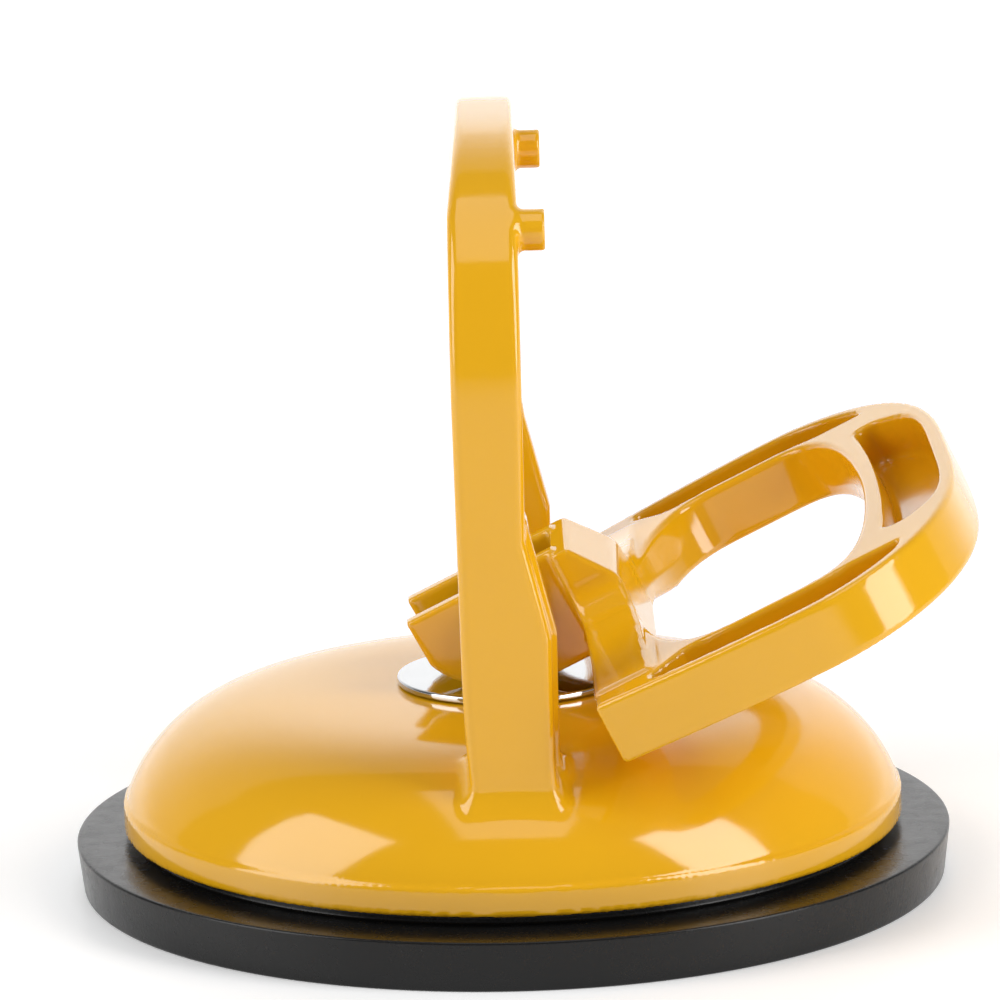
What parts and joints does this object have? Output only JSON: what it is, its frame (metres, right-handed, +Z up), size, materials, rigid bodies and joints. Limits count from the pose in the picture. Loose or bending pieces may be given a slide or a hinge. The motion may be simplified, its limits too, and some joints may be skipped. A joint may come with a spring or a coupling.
{
  "type": "vacuum suction cup",
  "caption": "Hand suction cup for lifting glass: a round rubber pad under a domed casting with a fixed arch handle and a pivoting cam lever.",
  "frame": {"origin": "middle of the pad's flat suction face, on the surface the cup stands on", "axes": "+Z up along the bolt, away from the surface; the open lever points along +X; the arch handle stands in the YZ plane"},
  "size_m": [0.1237, 0.12, 0.1062],
  "materials": {
    "paint": "glossy yellow powder coat on die-cast aluminium",
    "rubber": "satin moulded",
    "chrome": "polished chrome plate",
    "steel": "bright zinc-plated steel"
  },
  "bodies": {
    "housing": {"housing": "paint", "cam_washer": "chrome", "rubber_pad": "rubber"},
    "bolt": {"eye_bolt": "steel", "backing_plate": "steel", "jam_nut": "steel"},
    "lever": {"cam_lever": "paint", "pivot_pin": "steel", "pin_washer_head": "steel", "pin_washer_clip": "steel", "retaining_clip": "steel"}
  },
  "joints": [
    {"name": "bolt_lift", "type": "slide", "parent": "housing", "child": "bolt", "axis": [0, 0, 1], "range_m": [0, 0.0045], "deforming": ["rubber_pad"]},
    {"name": "lever_swing", "type": "hinge", "parent": "bolt", "child": "lever", "pos_m": [0, 0, 0.0367], "axis": [0, -1, 0], "range_deg": [0, 63.9]}
  ],
  "couplings": [
    {"joint": "bolt_lift", "follows": "lever_swing", "m_per_rad": 0.004}
  ]
}
